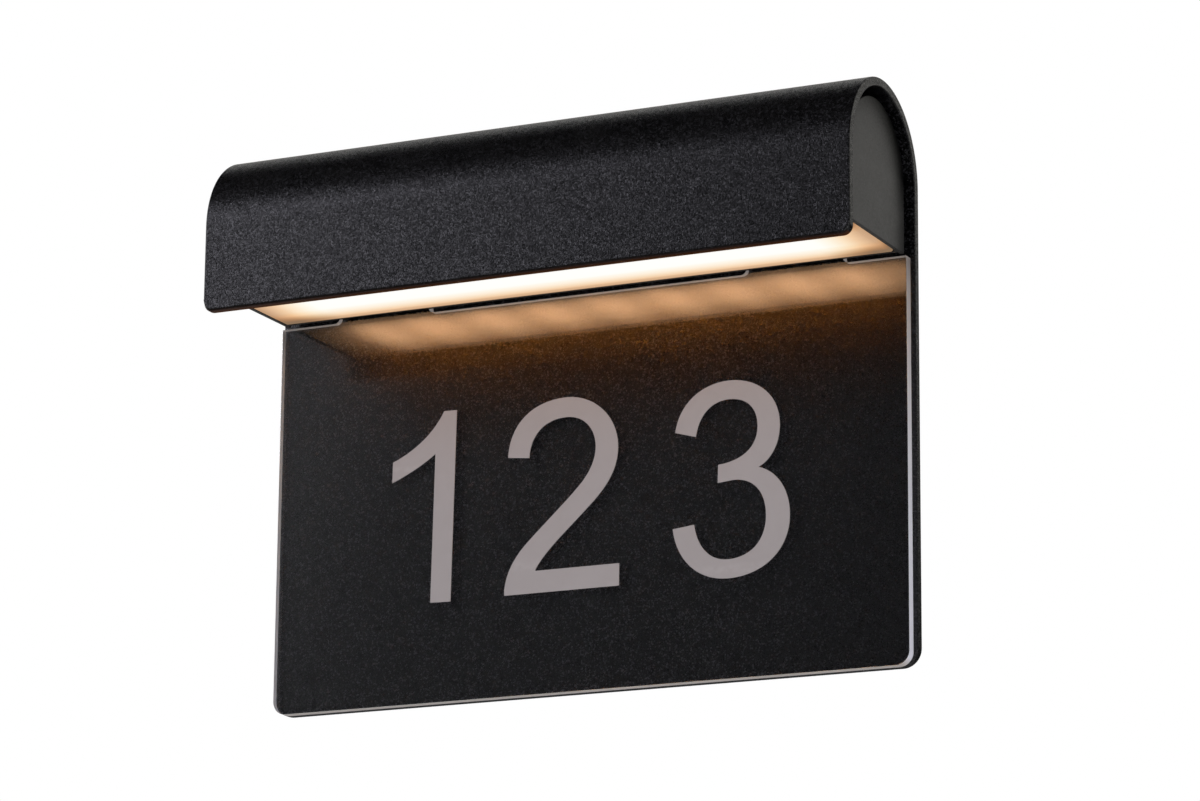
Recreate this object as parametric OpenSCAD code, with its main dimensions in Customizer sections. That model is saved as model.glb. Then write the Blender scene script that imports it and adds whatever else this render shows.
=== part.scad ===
/* [Body] */
// Width of the bent sheet, across the wall
body_w = 300; // [280:5:400]
// Height from the foot of the back plate to the top of the hood
body_h = 240; // [200:5:320]
// Depth of the hood, from the wall to its front
body_d = 75; // [70:1:90]
// Thickness of the bent aluminium sheet
sheet_t = 4; // [2:0.5:5]
// Height of the hood, from its front edge up to its top
hood_h = 75; // [72:1:95]
// Corner radius at the foot of the back plate
foot_r = 8; // [4:1:20]
// Corner radius at the ends of the hood's front edge
hood_edge_r = 4; // [1:0.5:8]

/* [Wall fixing] */
// Distance between the two wall screws
wall_screw_pitch = 120; // [80:5:130]
// Diameter of the wall screw holes
wall_hole_d = 5.5; // [4.5:0.5:6.5]
// Diameter of the cable hole in the back plate
cable_hole_d = 14; // [12:0.5:16]
// Diameter of the mains cable that the grommets let through
cable_d = 8; // [6:0.5:9]

/* [Number plate] */
// Thickness of the clear acrylic plate
panel_t = 5; // [3:0.5:6]
// How far the plate stands in from each side of the body
panel_inset = 2; // [0:0.5:6]
// Space between the plate's upper edge and the lamp's rim
panel_head_gap = 1.2; // [0.6:0.1:4]
// Width of each of the two tabs on top of the plate
tab_w = 44; // [20:1:60]
// Distance between the tabs' centre lines
tab_pitch = 195; // [190:1:210]
// Radius of the fillets where the tabs rise from the plate
tab_fillet_r = 2.5; // [1:0.5:5]
// Running clearance between the plate and what it slides on
slide_gap = 0.3; // [0.3:0.05:0.6]

/* [Figures] */
// Height of the figures
figure_h = 84; // [50:1:110]
// Height of the figures' base line above the foot
figure_up = 43.5; // [20:0.5:60]
// Thickness of the stuck-on figures
figure_t = 0.4; // [0.2:0.1:2]
// How far the first figure leans to the right, in degrees
one_lean = 1.1; // [0:0.1:3]

/* [Lamp] */
// Space between the lamp housing and the inside of the hood
lamp_gap = 3.5; // [2:0.5:5]
// How far the lamp's end caps stand in from the body's sides
lamp_inset = 3.5; // [2:0.5:10]
// Height of the lamp's rim above the hood's front edge
rim_up = 8.7; // [5:0.1:12]
// Wall of the extruded lamp housing
housing_t = 2; // [1.5:0.25:2.5]
// Thickness of the end caps
cap_t = 2; // [1.5:0.5:4]
// Thickness of the seals between the housing and its caps
cap_seal_t = 0.5; // [0.5:0.1:1]
// Thickness of the opal diffuser
diffuser_t = 3; // [2:0.5:4]
// How far the diffuser stands below the rim
diffuser_proud = 0.5; // [0:0.1:1.5]
// Chamfer on the diffuser's lower edges
diffuser_chamfer = 1; // [0.5:0.1:1.5]
// Thickness of the seal above the diffuser
seal_t = 1; // [0.5:0.1:2]
// Thickness of the rubber grips that hold the tabs
grip_t = 0.9; // [0.5:0.1:1.5]

/* [Light source] */
// Distance from one diode to the next
led_pitch = 28.8; // [20:0.2:31]
// Width of the diode board
board_w = 14; // [10:1:24]
// Thickness of the diode board
board_t = 1.6; // [1:0.2:2]
// Thickness of the tray that carries the board and the driver
tray_t = 1.5; // [1:0.25:2]
// Length of the driver's case
driver_l = 92; // [60:1:96]
// Width of the driver's case
driver_w = 34; // [24:1:36]
// Height of the driver's case
driver_h = 22; // [14:1:24]

/* [Hidden] */
$fn = 96;

// Small sizes that fasteners and fits share
cut = 1;
fit_gap = 0.3;
m3_d = 2.9;
m3_hole_d = 3.1;
m3_head_d = 5.6;
m3_head_h = 1.8;
m4_d = 3.9;
m4_hole_d = 4.1;
m4_head_d = 7;
m4_head_h = 2.6;
slot_w = 0.8;
slot_depth = 0.8;

// Heights. The wall screws and the cable entry lie on z = 0, at the wall on y = 0
rim_drop = 20.3;
rim_z = -rim_drop;
hood_edge_z = rim_z - rim_up;
top_z = hood_edge_z + hood_h;
foot_z = top_z - body_h;
bend_z = top_z - body_d / 2;
mid_y = -body_d / 2;

// Number plate
panel_back_y = -(sheet_t + slide_gap);
panel_front_y = panel_back_y - panel_t;
panel_w = body_w - 2 * panel_inset;
panel_top_z = rim_z - panel_head_gap;
panel_r = max(foot_r - panel_inset, 1);

// Lamp housing
lamp_r = body_d / 2 - sheet_t - lamp_gap;
lamp_half_w = body_w / 2 - lamp_inset;
cap_in_x = lamp_half_w - cap_t;
housing_back_y = panel_front_y - slide_gap - grip_t;
inside_back_y = housing_back_y - housing_t;
inside_front_y = mid_y - lamp_r + housing_t;
housing_l = 2 * (cap_in_x - cap_seal_t);
channel_d = -sheet_t - housing_back_y;
spigot_l = 3;
spigot_t = 1.5;

// Diffuser, its seal and the ledges they bear on
diffuser_gap = 0.8;
diffuser_half_w = cap_in_x - diffuser_gap;
diffuser_back_y = inside_back_y - diffuser_gap;
diffuser_front_y = inside_front_y + diffuser_gap;
diffuser_low_z = rim_z - diffuser_proud;
diffuser_top_z = diffuser_low_z + diffuser_t;
ledge_z = diffuser_top_z + seal_t;
ledge_t = 1.5;
ledge_reach = 5;
seal_w = 4;

// Tray that slides into grooves of the housing
rib_t = 1.2;
rib_reach = 3;
tray_up = 10.5;
tray_z = rim_z + tray_up;
tray_top_z = tray_z + tray_t;
tray_half_l = cap_in_x - spigot_l - fit_gap;
tray_back_y = inside_back_y - fit_gap;
tray_front_y = inside_front_y + fit_gap;

// Diodes and their board
board_y = (inside_back_y + inside_front_y) / 2;
board_end = 8;
board_margin = 9.2;
board_half_l = tray_half_l - board_margin;
led_side_n = floor((board_half_l - board_end + fit_gap) / led_pitch);
board_low_z = tray_z - board_t;
led_side = 5;
led_h = 0.9;
lens_d = 4;
lens_h = 0.2;
board_screw_l = 3;
board_screw_x = [for (k = [-2.5, -0.5, 0.5, 2.5]) k * led_pitch];

// Driver, on the tray's right half
lead_slot_d = 6;
lead_slot_gap = 5;
lead_slot_x = board_half_l + lead_slot_gap;
ear_l = 8;
ear_t = 2;
ear_gap = 6;
driver_x = lead_slot_x - lead_slot_d / 2 - ear_gap - ear_l - driver_l;
driver_y = board_y;
ear_screw_y = driver_y + 5;
driver_r = 3;
driver_screw_x = [driver_x - ear_l / 2, driver_x + driver_l + ear_l / 2];
driver_screw_l = 3.4;
lead_d = 1.8;
lead_hole_d = 3;
lead_in = 4;
driver_lead_up = 10;
driver_lead_z = tray_top_z + driver_lead_up;

// Terminal block, on the tray's left half
block_x = -36;
block_y = -35;
pole_pitch = 10;
pole_n = 3;
block_w = 20;
block_h = 15;
block_end = 3;
block_foot = 5;
block_l = pole_n * pole_pitch + 2 * block_end;
entry_up = 5;
well_d = 4;
well_depth = 9;
pole_screw_d = 3.4;
pole_screw_h = 5;
pole_inset = 5;
block_screw_l = 6.4;
block_screw_x = [block_x - pole_pitch / 2, block_x + pole_pitch / 2];
pole_x = [for (k = [0:pole_n - 1]) block_x + (k - (pole_n - 1) / 2) * pole_pitch];
pole_front_y = block_y - block_w / 2;
entry_z = tray_top_z + entry_up;
lead_bend = 9;
live_run = 12;
neutral_run = 7;

// Cable clamp, in line with the cable entry
clamp_y = -23;
clamp_l = 8;
clamp_w = 26;
clamp_top = 6;
clamp_split = 0.6;
clamp_screw_x = 8.5;
clamp_screw_l = 14;

// Earth point on the tray
earth_x = -84;
earth_y = -24;
lug_d = 8;
lug_t = 0.8;
barrel_d = 3.2;
barrel_l = 6;
earth_screw_l = 4;

// Fixings between the housing and the back plate
housing_screw_x = [-tab_pitch / 2, -30, 30, tab_pitch / 2];
spacer_d = 9;
housing_screw_l = 12;
tab_top_z = -spacer_d / 2 - slide_gap;

// Grommets
grommet_wall = 1.5;
flange_t = 1.5;
flange_w = 1.2;
housing_hole_d = cable_d + 2 * grommet_wall;

// Where each figure's centre line lies, and how many grid squares high its outline is drawn
figure_x = [-78, -9.5, 69];
grid_n = 84;

// Colours
powder_black = "#2b2b2f";
satin_grey = "#4a4a49";
clear_acrylic = [0.75, 0.8, 0.85, 0.35];
opal = "#fff1dc";
figure_grey = "#97908d";
rubber_black = "#1c1c1c";
steel = "#b9bcc0";
white_coat = "#f0f0ee";

// Extrudes an outline drawn in y and z along x, centred on x = 0
module along_x(length) {
    rotate([90, 0, 90]) translate([0, 0, -length / 2]) linear_extrude(length) children();
}

// Extrudes an outline drawn in x and z from y forwards, away from the wall
module forwards(y, thickness) {
    translate([0, y, 0]) rotate([90, 0, 0]) linear_extrude(thickness) children();
}

// A round bar or hole that starts at y and runs forwards
module bar_y(x, y, z, length, d) {
    translate([x, y, z]) rotate([90, 0, 0]) cylinder(d = d, h = length);
}

// What a rounded corner leaves outside it, for a corner at the origin
module corner_waste(r) {
    difference() {
        translate([-cut, -cut]) square(r + cut);
        translate([r, r]) circle(r);
    }
}

module rounded_rect(w, h, r) {
    for (x = [-1, 1]) for (y = [-1, 1]) translate([x * (w / 2 - r), y * (h / 2 - r)]) circle(r);
    square([w - 2 * r, h], center = true);
    square([w, h - 2 * r], center = true);
}

// The hood's outline in y and z, drawn in by inset and cut off at low_z
module hood_outline(inset, low_z) {
    translate([mid_y, bend_z]) circle(body_d / 2 - inset);
    translate([inset - body_d, low_z]) square([body_d - 2 * inset, bend_z - low_z]);
}

// Everything in front of y, for cutting a section off at the back
module in_front_of(y) {
    translate([-body_d, foot_z]) square([body_d + y, body_h]);
}

// A pan-head screw with a slot, whose head bears on z = 0 and whose shank points down
module screw(d, length, head_d, head_h) {
    translate([0, 0, -length]) cylinder(d = d, h = length);
    difference() {
        cylinder(d = head_d, h = head_h);
        translate([-head_d, -slot_w / 2, head_h - slot_depth]) cube([2 * head_d, slot_w, cut + slot_depth]);
    }
}

// Points along a curve from a to d, which the handles b and c draw out
function curve(a, b, c, d, n = 7) = [
    for (i = [1:n]) let (t = i / n, s = 1 - t)
        s * s * s * a + 3 * s * s * t * b + 3 * s * t * t * c + t * t * t * d
];

function unit(v) = v / norm(v);

// A smooth route through points chosen by hand, with n steps between each two
function smooth(p, n = 4) = [
    for (i = [0:len(p) - 2]) for (k = [0:n - 1])
        let (a = p[max(i - 1, 0)], b = p[i], c = p[i + 1], d = p[min(i + 2, len(p) - 1)], t = k / n)
            b + (c - a) * t / 2 + (2 * a - 5 * b + 4 * c - d) * t * t / 2
                + (3 * b - a - 3 * c + d) * t * t * t / 2,
    p[len(p) - 1]
];

function heading(p, i) = unit(p[min(i + 1, len(p) - 1)] - p[max(i - 1, 0)]);

// A wire of diameter d along the points of p
module wire(p, d, sides = 8) {
    rings = len(p);
    points = [
        for (i = [0:rings - 1])
            let (t = heading(p, i), u = unit(cross(t, [1, 1, 1])), v = cross(t, u))
                for (k = [0:sides - 1]) p[i] + d / 2 * (cos(360 * k / sides) * u + sin(360 * k / sides) * v)
    ];
    walls = [
        for (i = [0:rings - 2]) for (k = [0:sides - 1])
            let (a = i * sides + k, b = i * sides + (k + 1) % sides) each [
                [a, a + sides, b],
                [b, a + sides, b + sides]
            ]
    ];
    near_end = [for (k = [0:sides - 1]) k];
    far_end = [for (k = [sides - 1:-1:0]) (rings - 1) * sides + k];
    polyhedron(points, concat([near_end], walls, [far_end]));
}

// Back plate and hood, bent from one sheet
module body_sheet() {
    color(powder_black) difference() {
        along_x(body_w) difference() {
            hood_outline(0, foot_z);
            hood_outline(sheet_t, foot_z - cut);
            translate([-body_d - cut, foot_z - cut])
                square([body_d + cut - sheet_t, hood_edge_z - foot_z + cut]);
        }
        for (side = [0, 1]) mirror([side, 0, 0]) {
            forwards(cut, sheet_t + 2 * cut) translate([-body_w / 2, foot_z]) corner_waste(foot_r);
            forwards(sheet_t + cut - body_d, sheet_t + 2 * cut)
                translate([-body_w / 2, hood_edge_z]) corner_waste(hood_edge_r);
            bar_y(wall_screw_pitch / 2, cut, 0, sheet_t + 2 * cut, wall_hole_d);
        }
        bar_y(0, cut, 0, sheet_t + 2 * cut, cable_hole_d);
        for (x = housing_screw_x) bar_y(x, cut, 0, sheet_t + 2 * cut, m4_hole_d);
    }
}

// The lamp's outline in y and z, drawn in by inset and cut off at low_z
module lamp_outline(inset, low_z) {
    intersection() {
        translate([mid_y, bend_z]) circle(lamp_r - inset);
        translate([-body_d, bend_z]) square(body_d);
    }
    translate([mid_y - lamp_r + inset, low_z]) square([2 * (lamp_r - inset), bend_z - low_z]);
}

module housing_wall() {
    difference() {
        intersection() {
            lamp_outline(0, rim_z);
            in_front_of(housing_back_y);
        }
        intersection() {
            lamp_outline(housing_t, rim_z - cut);
            in_front_of(inside_back_y);
        }
    }
}

// A pair of ribs that face each other, on the housing's front and back walls
module rib_pair(z, thickness, reach) {
    root = housing_t / 2;
    translate([inside_back_y - reach, z]) square([reach + root, thickness]);
    translate([inside_front_y - root, z]) square([reach + root, thickness]);
}

// Extruded housing of the lamp, open below, with ledges for the diffuser and grooves for the tray
module lamp_housing() {
    color(satin_grey) difference() {
        along_x(housing_l) {
            housing_wall();
            rib_pair(ledge_z, ledge_t, ledge_reach);
            rib_pair(tray_z - rib_t, rib_t, rib_reach);
            rib_pair(tray_top_z + fit_gap, rib_t, rib_reach);
        }
        for (x = housing_screw_x) bar_y(x, housing_back_y + cut, 0, housing_t + 2 * cut, m4_hole_d);
        bar_y(0, housing_back_y + cut, 0, housing_t + 2 * cut, housing_hole_d);
    }
}

// End cap on the right, with a spigot inside the housing and a ledge for the diffuser
module end_cap() {
    color(satin_grey) {
        translate([cap_in_x + cap_t / 2, 0, 0]) along_x(cap_t) lamp_outline(0, rim_z);
        translate([cap_in_x - spigot_l / 2, 0, 0]) along_x(spigot_l) difference() {
            intersection() {
                translate([mid_y, bend_z]) circle(lamp_r - housing_t - fit_gap);
                in_front_of(inside_back_y - fit_gap);
                translate([-body_d, bend_z]) square(body_d);
            }
            translate([mid_y, bend_z]) circle(lamp_r - housing_t - fit_gap - spigot_t);
        }
        ledge_in = ledge_reach + fit_gap;
        translate([cap_in_x - ledge_reach, inside_front_y + ledge_in, ledge_z])
            cube([ledge_reach, inside_back_y - inside_front_y - 2 * ledge_in, ledge_t]);
    }
}

module end_cap_right() {
    end_cap();
}

module end_cap_left() {
    mirror([1, 0, 0]) end_cap();
}

// Seals between the housing's ends and its caps
module cap_seals() {
    color(rubber_black) for (side = [-1, 1])
        translate([side * (cap_in_x - cap_seal_t / 2), 0, 0]) along_x(cap_seal_t) housing_wall();
}

// Opal diffuser, with a chamfer round its lower face
module diffuser() {
    c = diffuser_chamfer;
    color(opal) intersection() {
        along_x(2 * diffuser_half_w) polygon([
            [diffuser_back_y, diffuser_top_z],
            [diffuser_back_y, diffuser_low_z + c],
            [diffuser_back_y - c, diffuser_low_z],
            [diffuser_front_y + c, diffuser_low_z],
            [diffuser_front_y, diffuser_low_z + c],
            [diffuser_front_y, diffuser_top_z]
        ]);
        forwards(0, body_d) polygon([
            [-diffuser_half_w, diffuser_top_z],
            [-diffuser_half_w, diffuser_low_z + c],
            [c - diffuser_half_w, diffuser_low_z],
            [diffuser_half_w - c, diffuser_low_z],
            [diffuser_half_w, diffuser_low_z + c],
            [diffuser_half_w, diffuser_top_z]
        ]);
    }
}

// Seal that bonds the diffuser to the ledges
module diffuser_seal() {
    l = 2 * diffuser_half_w;
    w = diffuser_back_y - diffuser_front_y;
    color(rubber_black) translate([0, (diffuser_back_y + diffuser_front_y) / 2, diffuser_top_z])
        linear_extrude(seal_t) difference() {
            square([l, w], center = true);
            square([l - 2 * seal_w, w - 2 * seal_w], center = true);
        }
}

// White tray in the housing's grooves, between the diodes below and the driver above
module led_tray() {
    color(white_coat) difference() {
        translate([-tray_half_l, tray_front_y, tray_z])
            cube([2 * tray_half_l, tray_back_y - tray_front_y, tray_t]);
        translate([0, 0, tray_z - cut]) {
            for (x = board_screw_x) translate([x, board_y, 0]) cylinder(d = m3_hole_d, h = tray_t + 2 * cut);
            for (x = driver_screw_x) translate([x, ear_screw_y, 0])
                cylinder(d = m3_hole_d, h = tray_t + 2 * cut);
            for (x = block_screw_x) translate([x, block_y, 0]) cylinder(d = m3_hole_d, h = tray_t + 2 * cut);
            for (s = [-1, 1]) translate([s * clamp_screw_x, clamp_y, 0])
                cylinder(d = m3_hole_d, h = tray_t + 2 * cut);
            translate([earth_x, earth_y, 0]) cylinder(d = m4_hole_d, h = tray_t + 2 * cut);
            translate([lead_slot_x, board_y, 0]) cylinder(d = lead_slot_d, h = tray_t + 2 * cut);
        }
    }
}

// Diode board under the tray
module led_board() {
    color(white_coat) difference() {
        translate([-board_half_l, board_y - board_w / 2, board_low_z]) cube([2 * board_half_l, board_w, board_t]);
        for (x = board_screw_x) translate([x, board_y, board_low_z - cut])
            cylinder(d = m3_hole_d, h = board_t + 2 * cut);
    }
}

// Diodes in a row, each with its round lens facing down
module led_chips() {
    color("#f3d77a") for (k = [-led_side_n:led_side_n])
        translate([k * led_pitch, board_y, board_low_z - led_h]) {
            translate([-led_side / 2, -led_side / 2, 0]) cube([led_side, led_side, led_h]);
            translate([0, 0, -lens_h]) cylinder(d = lens_d, h = lens_h + led_h / 2);
        }
}

module board_screws() {
    color(steel) for (x = board_screw_x) translate([x, board_y, board_low_z]) mirror([0, 0, 1])
        screw(m3_d, board_screw_l, m3_head_d, m3_head_h);
}

// Driver in a potted case with an ear at each end
module led_driver() {
    ear_w = driver_w / 2;
    color("#e6e6e3") difference() {
        translate([driver_x + driver_l / 2, driver_y, tray_top_z]) {
            linear_extrude(driver_h) rounded_rect(driver_l, driver_w, driver_r);
            linear_extrude(ear_t) square([driver_l + 2 * ear_l, ear_w], center = true);
        }
        for (x = driver_screw_x) translate([x, ear_screw_y, tray_top_z - cut])
            cylinder(d = m3_hole_d, h = ear_t + 2 * cut);
        for (s = [-1, 1]) for (x = [driver_x - cut, driver_x + driver_l - lead_in])
            translate([x, driver_y + s * lead_hole_d, driver_lead_z]) rotate([0, 90, 0])
                cylinder(d = lead_hole_d, h = lead_in + cut);
    }
}

module driver_screws() {
    color(steel) for (x = driver_screw_x) translate([x, ear_screw_y, tray_top_z + ear_t])
        screw(m3_d, driver_screw_l, m3_head_d, m3_head_h);
}

// Terminal block for the mains cable: earth, live and neutral
module terminal_block() {
    color("#d9d9d4") difference() {
        translate([block_x - block_l / 2, block_y - block_w / 2, tray_top_z])
            cube([block_l, block_w, block_h]);
        for (x = pole_x) {
            bar_y(x, block_y + block_w / 2 + cut, entry_z, block_w + 2 * cut, lead_hole_d);
            for (s = [-1, 1]) translate([x, block_y + s * pole_inset, tray_top_z + block_h - well_depth])
                cylinder(d = well_d, h = well_depth + cut);
        }
        for (x = block_screw_x) translate([x, block_y, tray_top_z]) {
            translate([0, 0, -cut]) cylinder(d = m3_hole_d, h = block_h);
            translate([0, 0, block_foot]) cylinder(d = m3_head_d + fit_gap, h = block_h);
        }
    }
}

// Clamping screws in the wells of the terminal block
module terminal_screws() {
    color("#c9a75a") for (x = pole_x) for (s = [-1, 1])
        translate([x, block_y + s * pole_inset, tray_top_z + block_h - well_depth]) difference() {
            cylinder(d = pole_screw_d, h = pole_screw_h);
            translate([-pole_screw_d, -slot_w / 2, pole_screw_h - slot_depth])
                cube([2 * pole_screw_d, slot_w, slot_depth + cut]);
        }
}

module block_screws() {
    color(steel) for (x = block_screw_x) translate([x, block_y, tray_top_z + block_foot])
        screw(m3_d, block_screw_l, m3_head_d, m3_head_h);
}

// Half of the cable clamp's outline in x and z, from low to high, with the cable's groove taken out
module clamp_half(low, high) {
    difference() {
        translate([-clamp_w / 2, low]) square([clamp_w, high - low]);
        circle(d = cable_d);
    }
}

module clamp_holes() {
    for (s = [-1, 1]) translate([s * clamp_screw_x, clamp_y, tray_top_z - cut])
        cylinder(d = m3_hole_d, h = clamp_top - tray_top_z + 2 * cut);
}

// Lower half of the cable clamp, on the tray
module clamp_base() {
    color(rubber_black) difference() {
        forwards(clamp_y + clamp_l / 2, clamp_l) clamp_half(tray_top_z, -clamp_split / 2);
        clamp_holes();
    }
}

// Bar that presses the cable into the clamp
module clamp_bar() {
    color(rubber_black) difference() {
        forwards(clamp_y + clamp_l / 2, clamp_l) clamp_half(clamp_split / 2, clamp_top);
        clamp_holes();
    }
}

module clamp_screws() {
    color(steel) for (s = [-1, 1]) translate([s * clamp_screw_x, clamp_y, clamp_top])
        screw(m3_d, clamp_screw_l, m3_head_d, m3_head_h);
}

// Earth point: a ring lug under a screw
module earth_lug() {
    color(steel) difference() {
        union() {
            translate([earth_x, earth_y, tray_top_z]) cylinder(d = lug_d, h = lug_t);
            translate([earth_x, earth_y - lug_t, tray_top_z]) cube([lug_d, 2 * lug_t, lug_t]);
            translate([earth_x + lug_d / 2 + 1, earth_y, tray_top_z + barrel_d / 2]) rotate([0, 90, 0])
                cylinder(d = barrel_d, h = barrel_l);
        }
        translate([earth_x, earth_y, tray_top_z - cut]) cylinder(d = m4_hole_d, h = lug_t + 2 * cut);
        translate([earth_x + lug_d / 2 + 1 + barrel_l - lead_in, earth_y, tray_top_z + barrel_d / 2])
            rotate([0, 90, 0]) cylinder(d = lead_d + fit_gap, h = lead_in + cut);
    }
}

module earth_screw() {
    color(steel) translate([earth_x, earth_y, tray_top_z + lug_t])
        screw(m4_d, earth_screw_l, m4_head_d, m4_head_h);
}

// Lead from the terminal block to the earth point
module earth_lead() {
    x = pole_x[0];
    barrel_x = earth_x + lug_d / 2 + 1 + barrel_l;
    barrel_z = tray_top_z + barrel_d / 2;
    color("#5f8f2f") wire(smooth([
        [x, pole_front_y + lead_in, entry_z],
        [x, pole_front_y - 1, entry_z],
        [x - 3, pole_front_y - 6, entry_z],
        [x - 10, pole_front_y - 5, entry_z - 1],
        [x - 15, block_y, entry_z - 1],
        [barrel_x + 9, earth_y - 4, barrel_z + 1],
        [barrel_x + 4, earth_y, barrel_z],
        [barrel_x, earth_y, barrel_z],
        [barrel_x - lead_in + 1, earth_y, barrel_z]
    ]), lead_d);
}

// A lead from a pole of the terminal block to the driver's left end
module supply_lead(x, run_y, side) {
    wire(smooth([
        [x, pole_front_y + lead_in, entry_z],
        [x, pole_front_y - 1, entry_z],
        [x + lead_bend / 3, run_y, entry_z + 1],
        [x + lead_bend, run_y - 1, entry_z + 2],
        [driver_x - 2 * lead_bend, run_y, driver_lead_z - 1],
        [driver_x - lead_bend, driver_y + side * lead_hole_d, driver_lead_z],
        [driver_x - 1, driver_y + side * lead_hole_d, driver_lead_z],
        [driver_x + lead_in - 1, driver_y + side * lead_hole_d, driver_lead_z]
    ]), lead_d);
}

module live_lead() {
    color("#6b4a33") supply_lead(pole_x[1], pole_front_y - live_run, -1);
}

module neutral_lead() {
    color("#2f5fa8") supply_lead(pole_x[2], pole_front_y - neutral_run, 1);
}

// A lead from the driver's right end, down through the tray, to a pad under the diode board
module board_lead(side) {
    y = driver_y + side * lead_hole_d;
    pad_y = board_y + side * lead_hole_d / 2;
    start_x = driver_x + driver_l;
    wire(smooth([
        [start_x - lead_in + 1, y, driver_lead_z],
        [start_x + 1, y, driver_lead_z],
        [lead_slot_x - 3, (y + pad_y) / 2, driver_lead_z - 2],
        [lead_slot_x, pad_y, tray_top_z + 3],
        [lead_slot_x, pad_y, board_low_z],
        [lead_slot_x - 2, pad_y, board_low_z - 2.4],
        [board_half_l - 1, pad_y, board_low_z - 2.4],
        [board_half_l - 3, pad_y, board_low_z - 1.4],
        [board_half_l - 3, pad_y, board_low_z - 0.2]
    ]), lead_d);
}

module led_plus_lead() {
    color("#b02a2a") board_lead(1);
}

module led_minus_lead() {
    color("#222222") board_lead(-1);
}

// A rubber grommet from y forwards: a sleeve through a wall, and a flange on the far side of it
module grommet(y, wall, hole_d) {
    color(rubber_black) difference() {
        union() {
            bar_y(0, y, 0, wall + flange_t, hole_d);
            bar_y(0, y - wall, 0, flange_t, hole_d + 2 * flange_w);
        }
        bar_y(0, y + cut, 0, wall + flange_t + 2 * cut, cable_d);
    }
}

module entry_grommet() {
    grommet(0, sheet_t, cable_hole_d);
}

module housing_grommet() {
    grommet(housing_back_y, housing_t, housing_hole_d);
}

// Spacers that hold the housing off the back plate. The outer two also stop the tabs
module housing_spacers() {
    color(steel) difference() {
        for (x = housing_screw_x) bar_y(x, -sheet_t, 0, channel_d, spacer_d);
        for (x = housing_screw_x) bar_y(x, cut - sheet_t, 0, channel_d + 2 * cut, m4_hole_d);
    }
}

// Screws from inside the housing into tapped holes in the back plate
module housing_screws() {
    color(steel) for (x = housing_screw_x) translate([x, inside_back_y, 0]) rotate([90, 0, 0])
        screw(m4_d, housing_screw_l, m4_head_d, m4_head_h);
}

// Rubber grips on the back of the housing, which hold the tabs by friction
module tab_grips() {
    grip_inset = 3;
    grip_low_z = rim_z + grip_inset;
    grip_h = tab_top_z - grip_inset - grip_low_z;
    color(rubber_black) for (s = [-1, 1])
        translate([s * tab_pitch / 2 - tab_w / 2 + grip_inset, housing_back_y, grip_low_z])
            cube([tab_w - 2 * grip_inset, grip_t, grip_h]);
}

// Fillet in the inner corner beside a tab
module tab_fillet() {
    difference() {
        square(tab_fillet_r);
        translate([tab_fillet_r, tab_fillet_r]) circle(tab_fillet_r);
    }
}

// Clear plate, with two tabs that rise behind the lamp housing
module number_plate() {
    tab_h = tab_top_z - panel_top_z;
    color(clear_acrylic) forwards(panel_back_y, panel_t) {
        difference() {
            translate([-panel_w / 2, foot_z]) square([panel_w, panel_top_z - foot_z]);
            for (side = [0, 1]) mirror([side, 0]) translate([-panel_w / 2, foot_z]) corner_waste(panel_r);
        }
        for (side = [-1, 1]) translate([side * tab_pitch / 2, panel_top_z]) {
            difference() {
                translate([-tab_w / 2, -cut]) square([tab_w, tab_h + cut]);
                for (m = [0, 1]) mirror([m, 0]) translate([-tab_w / 2, tab_h]) mirror([0, 1])
                    corner_waste(tab_fillet_r);
            }
            for (m = [0, 1]) mirror([m, 0]) translate([tab_w / 2, 0]) tab_fillet();
        }
    }
}

// Outlines of the figures, drawn about their own centre line on a base line at zero
function outline_one() = concat(
    [[6.2, 0], [15.8, 0], [15.8, 84], [9.8, 84]],
    curve([9.8, 84], [5.5, 75.5], [-2.5, 68], [-14.4, 63]),
    [[-14.4, 54]],
    curve([-14.4, 54], [-6, 57.5], [1, 61.5], [6.2, 65.5])
);

function outline_two() = concat(
    curve([-25.9, 60.1], [-25.2, 75.5], [-14, 84], [1.5, 84]),
    curve([1.5, 84], [14.5, 84], [26, 73.5], [26, 60]),
    curve([26, 60], [26, 50], [20.5, 42.8], [13, 35.9]),
    curve([13, 35.9], [2, 25.6], [-9.5, 16.5], [-12.6, 9.5]),
    [[26.9, 9.5], [26.9, 0], [-26.9, 0], [-26.9, 2.5]],
    curve([-26.9, 2.5], [-26, 11], [-21, 18], [-15.1, 23.2]),
    curve([-15.1, 23.2], [-8, 30], [2, 38.5], [8.2, 45]),
    curve([8.2, 45], [12.5, 49.5], [15.6, 55], [15.6, 60.9]),
    curve([15.6, 60.9], [15.6, 69.5], [9.5, 75.4], [1.5, 75.4]),
    curve([1.5, 75.4], [-9, 75.4], [-15.5, 69], [-15.9, 59.1]),
    [[-25.9, 60.1]]
);

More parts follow.
